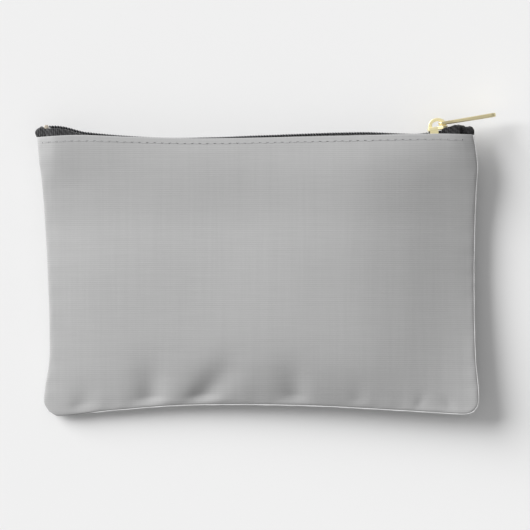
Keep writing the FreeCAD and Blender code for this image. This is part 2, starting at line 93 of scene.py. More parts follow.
# ---- small folds in the cloth: (from x, y, to x, y, width, height) -----------------------
FRONT_FOLDS = [(-55.0, -68.0, -52.5, -38.0, 8.0, -2.0), (-31.5, -66.0, -9.0, -40.0, 7.0, -2.3),
               (17.0, -66.0, 15.5, -40.0, 7.0, -1.5), (-90.0, -70.0, -82.0, -52.0, 6.0, -0.8),
               (78.0, -69.0, 81.0, -58.0, 2.6, -0.5), (95.0, -69.5, 90.0, -60.0, 2.6, -0.5),
               (48.0, -67.0, 50.0, -50.0, 5.0, -0.5)]
BACK_FOLDS = [(-60.0, -66.0, -48.0, -50.0, 5.0, -0.6), (35.0, -65.0, 28.0, -50.0, 5.0, -0.5),
              (-96.0, 20.0, -82.0, 28.0, 5.0, -0.5), (98.0, -10.0, 84.0, -16.0, 5.0, -0.5)]


def through(points, x):
    """Values at x of a smooth curve through points, straight beyond their ends."""
    x = np.asarray(x, float)
    px, py = np.array(points, float).T
    low = np.maximum(np.arange(len(px)) - 1, 0)
    high = np.minimum(np.arange(len(px)) + 1, len(px) - 1)
    slope = (py[high] - py[low]) / (px[high] - px[low])
    i = np.clip(np.searchsorted(px, x, side="right") - 1, 0, len(px) - 2)
    h = px[i + 1] - px[i]
    t = np.clip((x - px[i]) / h, 0, 1)
    inside = ((1 + 2 * t) * (1 - t) ** 2 * py[i] + t * (1 - t) ** 2 * h * slope[i]
              + t * t * (3 - 2 * t) * py[i + 1] + t * t * (t - 1) * h * slope[i + 1])
    before = np.minimum(x - px[0], 0) * slope[0]
    after = np.maximum(x - px[-1], 0) * slope[-1]
    return inside + before + after


def mix(a, b, t):
    """a at t = 0, b at t = 1."""
    return a + (b - a) * t


def ease(t):
    """Smooth step from 0 to 1."""
    t = np.clip(t, 0, 1)
    return t * t * (3 - 2 * t)


def near_corner(y):
    """0 along the bag's sides, 1 at its top corners."""
    return ease((y - CORNER_START) / CORNER_SPAN)


def seam_z(x, y):
    """The seam sinks towards the bottom left corner and rises towards the bottom right."""
    corner = mix(BOTTOM_LEFT_DROP, BOTTOM_RIGHT_RISE, (x + BAG_WIDTH / 2) / BAG_WIDTH)
    low = SEAM_HEIGHT + corner * ease((BOTTOM_START - y) / BOTTOM_SPAN)
    return mix(low, CORNER_HEIGHT, near_corner(y))


def xyz(x, y, z):
    """Points from their coordinates."""
    return np.stack(np.broadcast_arrays(x, y, z), axis=-1)


def fold_u(x):
    """Share of the way along the top fold."""
    return (x - TOP_FOLD[0][0]) / (TOP_FOLD[-1][0] - TOP_FOLD[0][0])


def gentle_gap(x):
    """Half of the zip's gap without its steep ends."""
    ends = HALF_GAP[0][1]
    middle = max(gap for _, gap in HALF_GAP)
    return mix(ends, middle, 1 - np.abs(2 * fold_u(x) - 1) ** GAP_ROUNDNESS)


def base_surface(side, u, v):
    """Outer face of the front (side 1) or back (side -1) panel, without small folds."""
    y_left = mix(LEFT_EDGE[0][0], LEFT_EDGE[-1][0], v)
    y_right = mix(RIGHT_EDGE[0][0], RIGHT_EDGE[-1][0], v)
    x_bottom = mix(BOTTOM_EDGE[0][0], BOTTOM_EDGE[-1][0], u)
    x_top = mix(TOP_FOLD[0][0], TOP_FOLD[-1][0], u)

    def side_edge(edge, y):
        lift = mix(EDGE_LIFT, CORNER_LIFT, near_corner(y))
        x = through(edge, y)
        return xyz(x, y, seam_z(x, y) + side * lift)

    def bottom_edge(x):
        y = through(BOTTOM_EDGE, x)
        return xyz(x, y, seam_z(x, y) + side * EDGE_LIFT)

    def top_edge(x):
        return xyz(x, through(TOP_FOLD, x), ZIP_HEIGHT + side * (gentle_gap(x) + PANEL_DEPTH))

    bottom_left = side_edge(LEFT_EDGE, LEFT_EDGE[0][0])
    bottom_right = side_edge(RIGHT_EDGE, RIGHT_EDGE[0][0])
    top_left = top_edge(TOP_FOLD[0][0])
    top_right = top_edge(TOP_FOLD[-1][0])
    u_, v_ = np.asarray(u)[..., None], np.asarray(v)[..., None]
    point = (side_edge(LEFT_EDGE, y_left) * (1 - u_) + side_edge(RIGHT_EDGE, y_right) * u_
             + bottom_edge(x_bottom) * (1 - v_) + top_edge(x_top) * v_
             - (bottom_left * (1 - u_) + bottom_right * u_) * (1 - v_)
             - (top_left * (1 - u_) + top_right * u_) * v_)
    gap_shape = through(HALF_GAP, x_top) - gentle_gap(x_top)
    point[..., 2] += side * gap_shape * ease((v - (1 - GAP_BAND)) / GAP_BAND)
    if side > 0:
        point[..., 2] += BELLY_FRONT * through(FRONT_ACROSS, u) * through(FRONT_ALONG, v)
    else:
        across = 1 - np.abs(2 * np.asarray(u) - 1) ** BELLY_SHAPE
        along = 1 - np.abs(2 * np.asarray(v) - 1) ** BELLY_SHAPE
        free = point[..., 2] - BELLY_BACK * across * along
        point[..., 2] = TABLE_SOFTNESS * np.logaddexp(0, free / TABLE_SOFTNESS)
    return point


def fold_relief(x, y, folds):
    """Height of the small folds: each is a soft groove or ridge along a line."""
    total = np.zeros(np.broadcast(x, y).shape)
    for x0, y0, x1, y1, width, height in folds:
        dx, dy = x1 - x0, y1 - y0
        length = math.hypot(dx, dy)
        along = ((x - x0) * dx + (y - y0) * dy) / length
        off = ((x - x0) * dy - (y - y0) * dx) / length
        reach = ease(1 - np.maximum(along, 0) / (length * 1.15))
        spreading = width * (0.75 + 0.5 * along.clip(0) / length)
        total += height * np.exp(-(off / spreading) ** 2) * reach
    return total


def relief(side, u, v, point):
    """How far the cloth stands off the plain surface, along its normal."""
    x, y = point[..., 0], point[..., 1]
    from_side = np.minimum(u, 1 - u) * BAG_WIDTH
    from_bottom = v * BAG_HEIGHT
    from_zip = (1 - v) * BAG_HEIGHT
    folds = fold_relief(x, y, FRONT_FOLDS if side > 0 else BACK_FOLDS)
    slack = 0.16 * (np.sin(x / 13.0 + 0.8 * side) * np.sin(y / 19.0 + 2.0)
                    + 0.7 * np.sin(x / 29.0 - y / 23.0))
    pucker = (0.10 * np.sin(y / 2.1 + 1.7 * np.sin(y / 9.0)) * np.exp(-from_side / 5.0)
              + 0.10 * np.sin(x / 2.3 + 1.9 * np.sin(x / 11.0)) * np.exp(-from_bottom / 5.0))
    calm = ease(from_side / 6.0) * ease(from_bottom / 3.0) * ease(from_zip / 9.0)
    sewn = ease(from_side / 1.6) * ease(from_bottom / 1.6)
    rounding = -0.4 * (np.exp(-from_side / 0.8) + np.exp(-from_bottom / 0.8))
    if side < 0:
        pressed = ease((point[..., 2] - 0.05) / 1.2)
        folds, slack = folds * pressed, slack * pressed
    return folds * ease(from_bottom / 5.0) + pucker * sewn + slack * calm + rounding


def cloth(side, u, v, depth=0.0):
    """Points of a panel's cloth at that depth, and the outward normal there."""
    u, v = np.broadcast_arrays(np.asarray(u, float), np.asarray(v, float))
    step = 1e-3
    u0, u1 = np.maximum(u - step, 0), np.minimum(u + step, 1)
    v0, v1 = np.maximum(v - step, 0), np.minimum(v + step, 1)
    normal = np.cross(base_surface(side, u1, v) - base_surface(side, u0, v),
                      base_surface(side, u, v1) - base_surface(side, u, v0))
    normal *= side / np.linalg.norm(normal, axis=-1, keepdims=True)
    point = base_surface(side, u, v)
    off = relief(side, u, v, point) - depth
    point = point + normal * off[..., None]
    if side < 0:
        lowest = FLOOR_CLEARANCE + np.minimum(depth, MOST_CLEARANCE)
        point[..., 2] = np.maximum(point[..., 2], lowest)
    return point, normal


def crowded(count, share=0.6):
    """Shares from 0 to 1, closer together at both ends."""
    t = np.linspace(0, 1, count)
    return (1 - share) * t + share * (1 - np.cos(math.pi * t)) / 2


# ---- meshes ------------------------------------------------------------------------------
def add_mesh(name, points, faces, material, smooth=True):
    """A new object from points in millimetres."""
    mesh = bpy.data.meshes.new(name)
    mesh.from_pydata((np.asarray(points, float).reshape(-1, 3) * MM).tolist(), [], faces)
    mesh.validate()
    mesh.materials.append(material)
    mesh.polygons.foreach_set("use_smooth", [smooth] * len(mesh.polygons))
    obj = bpy.data.objects.new(name, mesh)
    bpy.context.scene.collection.objects.link(obj)
    return obj


def grid_faces(rows, columns, flip=False, closed=False, start=0):
    """Quads of a grid of points stored row by row; closed joins the last column to the first."""
    faces = []
    for r in range(rows - 1):
        for c in range(columns if closed else columns - 1):
            d = (c + 1) % columns
            quad = (start + r * columns + c, start + r * columns + d,
                    start + (r + 1) * columns + d, start + (r + 1) * columns + c)
            faces.append(quad[::-1] if flip else quad)
    return faces


def thicken(obj, thickness):
    """Gives a sheet its thickness, on the inner side."""
    solid = obj.modifiers.new("thickness", "SOLIDIFY")
    solid.thickness = thickness * MM
    solid.offset = -1
    solid.use_even_offset = False


def tube_points(line, radius, sides):
    """Rings of points round a line, with frames that don't twist."""
    line = np.asarray(line, float)
    tangent = np.gradient(line, axis=0)
    tangent /= np.linalg.norm(tangent, axis=1, keepdims=True)
    side = np.cross(tangent[0], (0.31, 0.2, 0.93))
    rings = []
    radius = np.broadcast_to(radius, len(line))
    angles = np.linspace(0, 2 * math.pi, sides, endpoint=False)
    for p, t, r in zip(line, tangent, radius):
        side = side - t * side.dot(t)
        side /= np.linalg.norm(side)
        up = np.cross(t, side)
        rings.append(p + r * (np.outer(np.cos(angles), side) + np.outer(np.sin(angles), up)))
    return np.array(rings)


def tube_mesh(lines, radius, sides=8):
    """Points and faces of closed tubes along several lines."""
    points, faces = [], []
    for line in lines:
        start = sum(len(p) for p in points)
        rings = tube_points(line, radius, sides)
        points.append(rings.reshape(-1, 3))
        faces += grid_faces(len(rings), sides, closed=True, start=start)
        faces.append(tuple(start + k for k in range(sides))[::-1])
        last = start + (len(rings) - 1) * sides
        faces.append(tuple(last + k for k in range(sides)))
    return np.concatenate(points), faces


# ---- materials ---------------------------------------------------------------------------
class Surface:
    """A node material in the making, with its patterns laid in the row frame."""

    def __init__(self, name, roughness, metallic=0.0, **constants):
        self.material = bpy.data.materials.new(name)
        self.material.use_nodes = True
        self.tree = self.material.node_tree
        self.shader = self.tree.nodes["Principled BSDF"]
        self.shader.inputs["Roughness"].default_value = roughness
        self.shader.inputs["Metallic"].default_value = metallic
        for key, value in constants.items():
            self.shader.inputs[key.replace("_", " ")].default_value = value
        self.place = self.node("ShaderNodeTexCoord").outputs["Object"]

    def node(self, kind, **settings):
        node = self.tree.nodes.new(kind)
        for key, value in settings.items():
            setattr(node, key, value)
        return node

    def feed(self, source, socket):
        """Links a pattern to the socket, or sets a plain value there."""
        if isinstance(source, bpy.types.NodeSocket):
            self.tree.links.new(source, socket)
        else:
            socket.default_value = source

    def scaled(self, x, y, z):
        """The place, stretched: larger numbers give a finer pattern."""
        mapping = self.node("ShaderNodeMapping")
        mapping.inputs["Scale"].default_value = (x, y, z)
        self.feed(self.place, mapping.inputs["Vector"])
        return mapping.outputs["Vector"]

    def noise(self, vector, scale=1.0, detail=3.0):
        node = self.node("ShaderNodeTexNoise")
        node.inputs["Scale"].default_value = scale
        node.inputs["Detail"].default_value = detail
        self.feed(vector, node.inputs["Vector"])
        return node.outputs["Fac"]

    def wave(self, axis, period_mm, distortion=0.0):
        """Parallel bands across an axis of the row frame."""
        node = self.node("ShaderNodeTexWave", wave_type="BANDS", bands_direction=axis)
        node.inputs["Scale"].default_value = 2 * math.pi / 20 / (period_mm * MM)
        node.inputs["Distortion"].default_value = distortion
        node.inputs["Detail"].default_value = 1.0
        node.inputs["Detail Scale"].default_value = 0.15
        self.feed(self.place, node.inputs["Vector"])
        return node.outputs["Fac"]

    def calc(self, operation, a, b):
        node = self.node("ShaderNodeMath", operation=operation)
        self.feed(a, node.inputs[0])
        self.feed(b, node.inputs[1])
        return node.outputs["Value"]

    def around_one(self, pattern, amount):
        """A factor that varies by that amount either side of 1."""
        centred = self.calc("SUBTRACT", pattern, 0.5)
        return self.calc("ADD", self.calc("MULTIPLY", centred, 2 * amount), 1.0)

    def colour(self, rgb, *factors):
        """Base colour, made lighter and darker by the factors."""
        total = factors[0]
        for factor in factors[1:]:
            total = self.calc("MULTIPLY", total, factor)
        node = self.node("ShaderNodeMix", data_type="RGBA", blend_type="MULTIPLY")
        node.inputs["Factor"].default_value = 1.0
        sockets = [s for s in node.inputs if s.name in ("A", "B") and s.type == "RGBA"]
        sockets[0].default_value = (*rgb, 1.0)
        self.feed(total, sockets[1])
        out = next(s for s in node.outputs if s.type == "RGBA")
        self.feed(out, self.shader.inputs["Base Color"])

    def bump(self, height, depth_mm, strength=1.0):
        node = self.node("ShaderNodeBump")
        node.inputs["Strength"].default_value = strength
        node.inputs["Distance"].default_value = depth_mm * MM
        self.feed(height, node.inputs["Height"])
        self.feed(node.outputs["Normal"], self.shader.inputs["Normal"])

    def rough(self, pattern, low, high):
        """Roughness between the two limits, following a pattern."""
        span = self.calc("MULTIPLY", pattern, high - low)
        self.feed(self.calc("ADD", span, low), self.shader.inputs["Roughness"])


def woven_cloth(name, rgb, rib=1.04, thread=0.52, contrast=1.0, depth=0.05):
    """Plain weave: fine threads both ways, faint ribs across and streaks along the bag."""
    s = Surface(name, 0.9, Sheen_Weight=0.1, Sheen_Roughness=0.6, Specular_IOR_Level=0.2)
    patches = s.noise(s.scaled(70, 110, 70), detail=2.0)
    ribs = s.calc("MULTIPLY", s.calc("SUBTRACT", s.wave("Y", rib, distortion=0.6), 0.5), patches)
    streaks = s.noise(s.scaled(900, 28, 28), detail=2.0)
    slubs = s.noise(s.scaled(50, 1000, 50), detail=2.0)
    mottle = s.noise(s.scaled(25, 25, 25), detail=2.0)
    weave = s.calc("MULTIPLY", s.wave("X", thread, 0.4), s.wave("Y", thread, 0.4))
    s.colour(rgb, s.calc("ADD", s.calc("MULTIPLY", ribs, 0.16 * contrast), 1.0),
             s.around_one(streaks, 0.045 * contrast), s.around_one(slubs, 0.045 * contrast),
             s.around_one(mottle, 0.03), s.around_one(weave, 0.03 * contrast))
    height = s.calc("ADD", s.calc("MULTIPLY", weave, 0.5),
                    s.calc("ADD", s.calc("MULTIPLY", ribs, 0.8), s.calc("MULTIPLY", slubs, 0.3)))
    s.bump(height, depth)
    return s.material


def tape_cloth(name, grey):
    """Black zip tape with a close twill rib, its threads catching the light."""
    s = Surface(name, 0.75, Sheen_Weight=0.35, Sheen_Roughness=0.45, Specular_IOR_Level=0.35)
    ribs = s.wave("X", 0.95, 0.8)
    twill = s.wave("DIAGONAL", 1.3, 0.8)
    fibres = s.noise(s.scaled(900, 900, 900), detail=2.0)
    s.colour((grey, grey, grey * 1.05), s.around_one(ribs, 0.3), s.around_one(twill, 0.5),
             s.around_one(fibres, 1.0))
    s.bump(s.calc("ADD", s.calc("ADD", ribs, twill), fibres), 0.2)
    return s.material


def coil_plastic(name):
    """Black nylon with random wear, and a painted highlight: a pale band on the crown of each turn.
    """
    s = Surface(name, 0.3, Specular_IOR_Level=0.7, Coat_Weight=0.4, Coat_Roughness=0.25)
    wear = s.noise(s.scaled(900, 900, 900))
    # painted highlight: a narrow pale band on every turn's crown, one per pitch of the coil
    painted_highlight = s.calc("POWER", s.wave("X", PITCH), 5.0)
    s.colour((0.016, 0.016, 0.018), s.around_one(wear, 0.3),
             s.calc("ADD", s.calc("MULTIPLY", painted_highlight, 9.0), 0.8))
    s.rough(wear, 0.25, 0.42)
    s.bump(wear, 0.02)
    return s.material


def spun_thread(name, rgb, pitch=0.35):
    """Twisted thread or cord."""
    s = Surface(name, 0.8, Sheen_Weight=0.2, Specular_IOR_Level=0.3)
    twist = s.wave("DIAGONAL", pitch, 0.3)
    fuzz = s.noise(s.scaled(1500, 1500, 1500))
    s.colour(rgb, s.around_one(twist, 0.18), s.around_one(fuzz, 0.2))
    s.bump(twist, 0.05)
    return s.material


def plated_metal(name, rgb, low, high, metallic=1.0):
    """Cast or stamped metal under thin plating, with soft wear and fine scratches."""
    s = Surface(name, 0.25, metallic=metallic)
    cloudy = s.noise(s.scaled(260, 260, 260))
    scratches = s.noise(s.scaled(300, 2600, 2600), detail=2.0)
    s.colour(rgb, s.around_one(cloudy, 0.07), s.around_one(scratches, 0.06))
    s.rough(s.calc("MULTIPLY", cloudy, scratches), low, high)
    s.bump(s.calc("ADD", cloudy, scratches), 0.012)
    return s.material


def tabletop(name):
    """Matt white board."""
    s = Surface(name, 0.75, Specular_IOR_Level=0.2)
    grain = s.noise(s.scaled(40, 40, 40))
    s.colour((0.8, 0.8, 0.8), s.around_one(grain, 0.004))
    return s.material


GREY_CLOTH = woven_cloth("grey woven cloth", (0.392, 0.392, 0.392))
LINING_CLOTH = woven_cloth("dark lining cloth", (0.13, 0.13, 0.135), rib=0.7, thread=0.35,
                           contrast=1.4, depth=0.03)
SEAM_CLOTH = woven_cloth("pale seam edge", (0.74, 0.74, 0.74), rib=0.8, thread=0.4, contrast=1.5)
TAPE_CLOTH = tape_cloth("black zip tape", 0.031)
# painted shade: the right end's tape is a darker copy of the same tape, for the end that lies away
# from the light
SHADED_TAPE_END_CLOTH = tape_cloth("black tape end with painted shade", 0.017)
COIL_PLASTIC = coil_plastic("black coil")
CORD_THREAD = spun_thread("black filler cord", (0.03, 0.03, 0.032))
GREY_THREAD = spun_thread("grey sewing thread", (0.4, 0.4, 0.403))
HOLE_SHADE = spun_thread("shaded needle hole", (0.07, 0.07, 0.072))
SLIDER_METAL = plated_metal("gold lacquered casting", (0.88, 0.79, 0.47), 0.4, 0.56, metallic=0.55)
PULL_METAL = plated_metal("pale gold plated pull", (0.88, 0.78, 0.48), 0.3, 0.5)
STOP_METAL = plated_metal("crimped stop", (0.80, 0.72, 0.60), 0.3, 0.5)


def opens_with_mouth(obj):
    """Bakes the piece's placement into its mesh."""
    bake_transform(obj)


def belongs(obj, side):
    """Front pieces have their placement baked into the mesh; the others are attached to the bag."""
    if side > 0:
        opens_with_mouth(obj)
    else:
        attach(obj, "bag")


SIDES = {1: "front", -1: "back"}


# ---- cloth panels --------------------------------------------------------------------------
HEM_ROLL = 0.5               # radius of the fold along the zip
HEM_SETBACK = 0.75           # middle of that fold, below the top of the surface
HEM_START_V, HEM_DEPTH_V = 0.93, 0.07   # shares of the height: the hem's foot, and its depth
HEM_EASE_V = 0.008           # cloth taken up by the fold
BOTTOM_TUCK, BOTTOM_SINK = 0.9, 0.35    # of the bottom edge, into the seam
SIDE_TUCK, SIDE_CLOSING = 0.8, 0.2      # of the side edges: inwards, and share of height left
COLUMNS, ROWS, ROLL_ROWS, HEM_ROWS = 236, 128, 7, 8


def panel_grid(side):
    """Rows of points from the bottom seam, over the fold and down inside the hem."""
    u = crowded(COLUMNS)
    rows = []
    tuck, normal = cloth(side, u, 0.0)
    inward = np.stack([0 * u, 0 * u + 1.0, 0 * u], axis=-1)
    rows.append(tuck + inward * BOTTOM_TUCK - normal * BOTTOM_SINK)
    fold, normal = cloth(side, u, 1.0)
    onward = fold - cloth(side, u, 0.99)[0]
    onward /= np.linalg.norm(onward, axis=-1, keepdims=True)
    for v in crowded(ROWS):
        setback = HEM_SETBACK * ease((v - HEM_START_V) / HEM_DEPTH_V)
        rows.append(cloth(side, u, v)[0] - onward * setback)
    centre = rows[-1] - normal * HEM_ROLL
    for k in range(1, ROLL_ROWS + 1):
        a = math.pi * k / ROLL_ROWS
        rows.append(centre + (normal * math.cos(a) + onward * math.sin(a)) * HEM_ROLL)
    for k in range(1, HEM_ROWS + 1):
        v = 1 - HEM_EASE_V - HEM_DEPTH_V * k / HEM_ROWS
        rows.append(cloth(side, u, v, 2 * HEM_ROLL)[0])
    grid = np.array(rows)
    left, right = grid[:, :1].copy(), grid[:, -1:].copy()
    left[..., 0] += SIDE_TUCK
    right[..., 0] -= SIDE_TUCK
    for edge in (left, right):
        middle = seam_z(edge[..., 0], edge[..., 1])
        edge[..., 2] = middle + (edge[..., 2] - middle) * SIDE_CLOSING
    return np.concatenate([left, grid, right], axis=1)


def make_panel(side):
    """Outer cloth of one side, with its hem."""
    grid = panel_grid(side)
    faces = grid_faces(grid.shape[0], grid.shape[1], flip=side < 0)
    obj = add_mesh(f"{SIDES[side]}_cloth", grid, faces, GREY_CLOTH)
    thicken(obj, CLOTH_THICKNESS)
    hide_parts(f"{SIDES[side]}_panel")
    belongs(obj, side)


LINING_DEPTH = 1.75
LINING_THICKNESS = 0.22
LINING_COLUMNS, LINING_ROWS = 120, 80
LINING_MARGIN_U = 0.006      # share of the width left free at each side
LINING_BOTTOM_V, LINING_TOP_V = 0.01, 0.93
LINING_RIPPLE = 0.12
LINING_APART = 0.16          # least height off the middle
LINING_SPARE = 1.3           # least room to the outer face


def make_lining(side):
    """Thin sheet under the panel, meeting the other lining near the seams."""
    u, v = np.meshgrid(mix(LINING_MARGIN_U, 1 - LINING_MARGIN_U, crowded(LINING_COLUMNS)),
                       mix(LINING_BOTTOM_V, LINING_TOP_V, crowded(LINING_ROWS)))
    outer, _ = cloth(side, u, v)
    x, y = outer[..., 0], outer[..., 1]
    middle = mix(seam_z(x, y), ZIP_HEIGHT, near_corner(y))
    grid, _ = cloth(side, u, v, LINING_DEPTH)
    ripple = LINING_RIPPLE * np.sin(x / 5.1 + np.sin(y / 7)) * np.sin(y / 8.3)
    room = np.maximum(side * (outer[..., 2] - middle) - LINING_SPARE, LINING_APART)
    grid[..., 2] = middle + side * np.minimum(side * (grid[..., 2] - middle) + ripple, room)
    grid[..., 2] = middle + side * np.maximum(side * (grid[..., 2] - middle), LINING_APART)
    faces = grid_faces(LINING_ROWS, LINING_COLUMNS, flip=side < 0)
    obj = add_mesh(f"{SIDES[side]}_lining_cloth", grid, faces, LINING_CLOTH)
    thicken(obj, LINING_THICKNESS)
    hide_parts(f"{SIDES[side]}_lining")
    belongs(obj, side)


# ---- zip -------------------------------------------------------------------------------------
PARTED = 1.7                 # each half of the zip from the middle, ahead of the slider
PARTING_START, PARTING_SPAN = 0.2, 3.4  # in x from the slider's middle


def zip_y(x):
    """Line of the zip in plan."""
    return through(ZIP_LINE, x)


def spread(x):
    """How far each half of the zip stands off the middle."""
    return PARTED * ease((x - SLIDER_X - PARTING_START) / PARTING_SPAN)


def smooth_path(corners, count):
    """Catmull-Rom curves through rows of corner points, with that many points in all."""
    corners = np.asarray(corners, float)
    before = 2 * corners[:1] - corners[1:2]
    after = 2 * corners[-1:] - corners[-2:-1]
    padded = np.concatenate([before, corners, after])
    spans = len(corners) - 1
    out = []
    for s in np.linspace(0, spans, count):
        i = min(int(s), spans - 1)
        t = s - i
        p0, p1, p2, p3 = padded[i:i + 4]
        out.append(0.5 * (2 * p1 + (p2 - p0) * t + (2 * p0 - 5 * p1 + 4 * p2 - p3) * t ** 2
                          + (3 * p1 - p0 - 3 * p2 + p3) * t ** 3))
    return np.array(out)


TAPE_START, TAPE_END, TAPE_STATIONS = -105.5, 99.0, 290
TAPE_THICKNESS = 0.42
TAPE_ROWS = 37
TAPE_RISE = 0.4              # above the zip's line
TAPE_WIDTH = 4.0             # from the middle to the bend
TAPE_INNER = 0.32            # nearest edge to the middle
INNER_SPARE, BEND_SPARE = 1.3, 0.75     # least room from the edge and the bend to the cloth
LEG_SHARES = (0.996, 0.965, 0.935)      # of the panel's height, down under the hem
# The front tape stands up in a loose fold beyond the slider: (x, height of the fold in y)
LOOSE_FOLD = [(88.0, 66.5), (89.6, 70.2), (91.5, 71.4), (94.0, 71.9), (96.0, 72.7), (99.0, 72.4)]


def make_tape(side):
    """Half of the tape: beside the coil, over the bend and down under the hem."""
    x = np.linspace(TAPE_START, TAPE_END, TAPE_STATIONS)
    gap = through(HALF_GAP, x)
    y = zip_y(x) + TAPE_RISE
    inner = np.minimum(TAPE_INNER + spread(x), gap - INNER_SPARE)
    flat = np.minimum(TAPE_WIDTH, gap - BEND_SPARE)
    bend_z = ZIP_HEIGHT + side * flat
    leg_depth = 2 * HEM_ROLL + 0.2
    at_fold, middle, sewn = (cloth(side, fold_u(x), v, leg_depth)[0] for v in LEG_SHARES)
    ripple = 0.1 * np.sin(x / 2.9 + np.sin(x / 7.7))
    over = xyz(x, np.minimum(at_fold[:, 1], y - 0.7), mix(bend_z, at_fold[:, 2], 0.75))
    crest = (over + xyz(x, y, bend_z)) / 2
    if side > 0:
        loose = ease((x - LOOSE_FOLD[0][0]) / 1.2)
        raised = mix(crest[:, 1], through(LOOSE_FOLD, x), loose)
        crest[:, 1] = np.maximum(crest[:, 1], raised)
        crest[:, 2] += 0.35 * loose * (1 + np.sin(x * 1.9))
    corners = [
        xyz(x, y, ZIP_HEIGHT + side * inner),
        xyz(x, y, ZIP_HEIGHT + side * (inner + flat) / 2),
        xyz(x, y - 0.05, bend_z),
        crest,
        over + xyz(0 * x, 0 * x, side * ripple),
        xyz(x, middle[:, 1], middle[:, 2]),
        xyz(x, sewn[:, 1], sewn[:, 2]),
    ]
    rows = smooth_path(corners, TAPE_ROWS)
    faces = grid_faces(rows.shape[0], rows.shape[1], flip=side > 0)
    obj = add_mesh(f"{SIDES[side]}_tape", rows, faces, TAPE_CLOTH)
    thicken(obj, TAPE_THICKNESS)
    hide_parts(f"{SIDES[side]}_zip_tape")
    belongs(obj, side)


COIL_START, COIL_TURNS = -103.6, 143
WIRE_RADIUS = 0.27
TURN_POINTS = 16
COIL_RISE = 1.155            # middle of the coil above the zip's line
COIL_HALF_HEIGHT = {1: 0.5, -1: 0.36}
COIL_MIDDLE, COIL_HALF_WIDTH = 0.85, 1.2
CORD_RADIUS = 0.21
CORD_MIDDLE = 1.1
CORD_STATIONS = 240


def flattened(wave, power):
    """A sine or cosine, fuller towards its ends."""
    return np.sign(wave) * np.abs(wave) ** power


def coil_line(side):
    """One continuous helix, its turns flattened and reaching over the middle line."""
    steps = COIL_TURNS * TURN_POINTS + 1
    angle = 2 * math.pi * np.arange(steps) / TURN_POINTS
    start = COIL_START if side < 0 else COIL_START - PITCH / 2
    x = start + PITCH * angle / (2 * math.pi)
    reach = COIL_MIDDLE + COIL_HALF_WIDTH * flattened(np.cos(angle), 0.8)
    rise = COIL_RISE + COIL_HALF_HEIGHT[side] * flattened(np.sin(angle), 0.6)
    return xyz(x, zip_y(x) + rise, ZIP_HEIGHT + side * (spread(x) + reach))


def make_coil(side):
    """One row of the zip's teeth."""
    points, faces = tube_mesh([coil_line(side)], WIRE_RADIUS, sides=8)
    obj = add_mesh(f"{SIDES[side]}_coil", points, faces, COIL_PLASTIC)
    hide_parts(f"{SIDES[side]}_zip_coil")
    belongs(obj, side)


def make_cord(side):
    """Filler cord inside one coil."""
    x = np.linspace(COIL_START - 0.9, COIL_START + COIL_TURNS * PITCH, CORD_STATIONS)
    line = xyz(x, zip_y(x) + COIL_RISE, ZIP_HEIGHT + side * (spread(x) + CORD_MIDDLE))
    points, faces = tube_mesh([line], CORD_RADIUS, sides=8)
    obj = add_mesh(f"{SIDES[side]}_cord", points, faces, CORD_THREAD)
    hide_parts(f"{SIDES[side]}_coil_cord")
    belongs(obj, side)


# ---- folded tape ends ------------------------------------------------------------------------
# Sections: (x, lowest y, highest y, half thickness, lean of the top towards the front)
LEFT_END = [
    (-103.0, 66.6, 70.6, 3.3, 0.0), (-105.2, 66.4, 70.8, 3.0, 0.1), (-106.8, 66.3, 71.5, 2.65, 0.2),
    (-108.2, 66.3, 72.0, 2.2, 0.3), (-109.4, 66.4, 71.4, 1.7, 0.3), (-110.6, 66.9, 70.5, 1.1, 0.2),
    (-111.3, 68.3, 69.6, 0.45, 0.0)]
RIGHT_END = [
    (94.6, 69.3, 71.4, 3.3, 0.0), (95.8, 69.1, 72.2, 3.3, 0.2), (97.4, 68.4, 72.8, 3.1, 0.4),
    (99.2, 68.0, 72.9, 2.8, 0.4), (100.6, 67.8, 72.5, 2.5, 0.2), (101.7, 67.7, 72.0, 2.2, 0.0),
    (102.8, 67.6, 72.1, 2.0, 0.2), (104.2, 67.4, 72.1, 1.8, 0.3), (105.4, 67.4, 71.4, 1.4, 0.2),
    (106.1, 68.2, 70.3, 0.7, 0.0)]
END_STATIONS, END_SIDES = 42, 36


def make_zip_end(name, sections, node, material):
    """A folded, slightly crumpled end of the tape, tucked into the side seam."""
    angles = np.linspace(0, 2 * math.pi, END_SIDES, endpoint=False)
    across = flattened(np.cos(angles), 0.75)
    up = flattened(np.sin(angles), 0.7)
    groove = 1 - 0.22 * np.exp(-((up - 0.15) / 0.16) ** 2) * (np.cos(angles) > 0)
    rings = []
    for x, low, high, half, lean in smooth_path(np.array(sections), END_STATIONS):
        crumple = 1 + 0.05 * np.sin(3 * angles + x * 1.9) + 0.035 * np.sin(7 * angles - x * 2.7)
        y = (low + high) / 2 + (high - low) / 2 * up * crumple
        z = ZIP_HEIGHT + half * across * crumple * groove + lean * up
        rings.append(xyz(x + 0 * angles, y, z))
    runs_right = sections[0][0] > 0
    faces = grid_faces(END_STATIONS, END_SIDES, closed=True, flip=runs_right)
    first = tuple(range(END_SIDES))
    last = tuple((END_STATIONS - 1) * END_SIDES + k for k in range(END_SIDES))
    faces += [first, last[::-1]] if runs_right else [first[::-1], last]
    obj = add_mesh(name, rings, faces, material)
    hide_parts(node)
    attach(obj, "bag")


# ---- seams -------------------------------------------------------------------------------------
# Section of a seam, (outward, up): a raised lip, then the flat allowance inside the bag
SEAM_SECTION = [(0.5, 0.45), (0.42, 0.8), (0.12, 0.95), (-0.35, 0.7), (-1.2, 0.2), (-4.6, 0.17),
                (-4.6, -0.17), (-1.2, -0.2), (0.0, -0.1), (0.36, 0.1)]
SEAM_STEP = 0.6
SEAM_DROP = 0.1              # middle of the seam below the panels' middle
LIP_HIDDEN, LIP_SHOWN = -0.6, -0.03     # how far out the lip stands
LIP_X, LIP_FADE = -92.0, 12.0           # the lip comes out past here along the bottom


